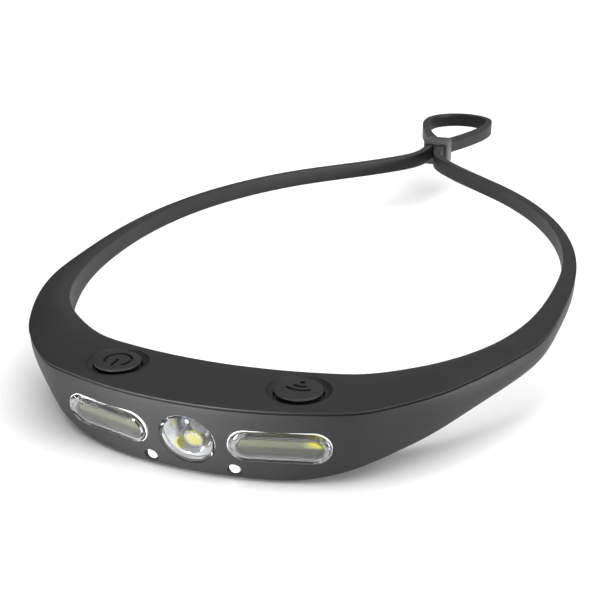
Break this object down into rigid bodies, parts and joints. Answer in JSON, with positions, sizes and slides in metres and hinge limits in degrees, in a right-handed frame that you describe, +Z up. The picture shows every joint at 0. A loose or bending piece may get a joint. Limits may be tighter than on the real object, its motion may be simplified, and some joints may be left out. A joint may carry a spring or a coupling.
{
  "type": "headlamp",
  "caption": "Slim curved headlamp pod with flood and spot windows on a one-piece silicone band with a rear slider and tail loop.",
  "frame": {"origin": "middle of the pod's inner face, where it meets the forehead, at the pod's mid-height", "axes": "+Z up, -Y the way the lamp looks, +Y towards the back of the head, +X towards the sensor button"},
  "size_m": [0.152, 0.329, 0.0232],
  "materials": {
    "silicone": "matte moulded",
    "slider_rubber": "matte moulded",
    "button_silicone": "matte moulded",
    "clear_lens": "polished clear",
    "diffuse_window": "satin",
    "bright_reflector": "bright",
    "phosphor": "smooth gel",
    "led_yellow": "smooth gel",
    "metal_board": "satin",
    "shell_plastic": "fine texture",
    "seal_rubber": "matte",
    "steel": "satin",
    "circuit_board": "solder mask",
    "component_black": "moulded",
    "switch_plunger": "moulded",
    "battery_foil": "satin foil",
    "connector_white": "moulded",
    "lead_red": "insulation",
    "lead_black": "insulation",
    "indicator": "clear tint"
  },
  "bodies": {
    "band": {"silicone_jacket": "silicone", "strap_left": "silicone", "strap_right": "silicone", "tail_loop": "silicone", "front_frame": "shell_plastic", "rear_shell": "shell_plastic", "case_seal": "seal_rubber", "case_screws": "steel", "cob_lens_left": "clear_lens", "cob_lens_right": "clear_lens", "reflector_frame_left": "bright_reflector", "reflector_frame_right": "bright_reflector", "phosphor_strip_left": "phosphor", "phosphor_strip_right": "phosphor", "cob_board_left": "metal_board", "cob_board_right": "metal_board", "spot_lens": "clear_lens", "spot_reflector": "bright_reflector", "spot_collimator": "clear_lens", "spot_led": "led_yellow", "spot_led_board": "metal_board", "heat_spreader": "metal_board", "sensor_window_emitter": "diffuse_window", "sensor_window_receiver": "diffuse_window", "ir_emitter": "component_black", "ir_receiver": "component_black", "power_switch": "component_black", "sensor_switch": "component_black", "main_board": "circuit_board", "controller_chip": "component_black", "driver_coil": "component_black", "battery_cell": "battery_foil", "battery_pad": "seal_rubber", "battery_connector": "connector_white", "battery_lead_positive": "lead_red", "battery_lead_negative": "lead_black", "usb_c_socket": "steel", "charge_board": "circuit_board", "board_header": "component_black", "charge_light": "indicator"},
    "power_button": {"power_button": "button_silicone", "power_switch_plunger": "switch_plunger"},
    "sensor_button": {"sensor_button": "button_silicone", "sensor_switch_plunger": "switch_plunger"},
    "slider": {"strap_slider": "slider_rubber"},
    "port_cover": {"port_cover": "silicone"}
  },
  "joints": [
    {"name": "power_button_press", "type": "slide", "parent": "band", "child": "power_button", "axis": [0, 0, -1], "range_m": [0, 0.0006], "stiffness_N_per_m": 2500, "springref_m": -0.0002},
    {"name": "sensor_button_press", "type": "slide", "parent": "band", "child": "sensor_button", "axis": [0, 0, -1], "range_m": [0, 0.0006], "stiffness_N_per_m": 2500, "springref_m": -0.0002},
    {"name": "slider_slide", "type": "slide", "parent": "band", "child": "slider", "axis": [0, 1, 0], "range_m": [-0.035, 0.02], "deforming": ["strap_left", "strap_right", "tail_loop"]},
    {"name": "port_cover_hinge", "type": "hinge", "parent": "band", "child": "port_cover", "pos_m": [-0.0159, -0.0045, -0.0109], "axis": [0, -1, 0], "range_deg": [0, 110]}
  ]
}
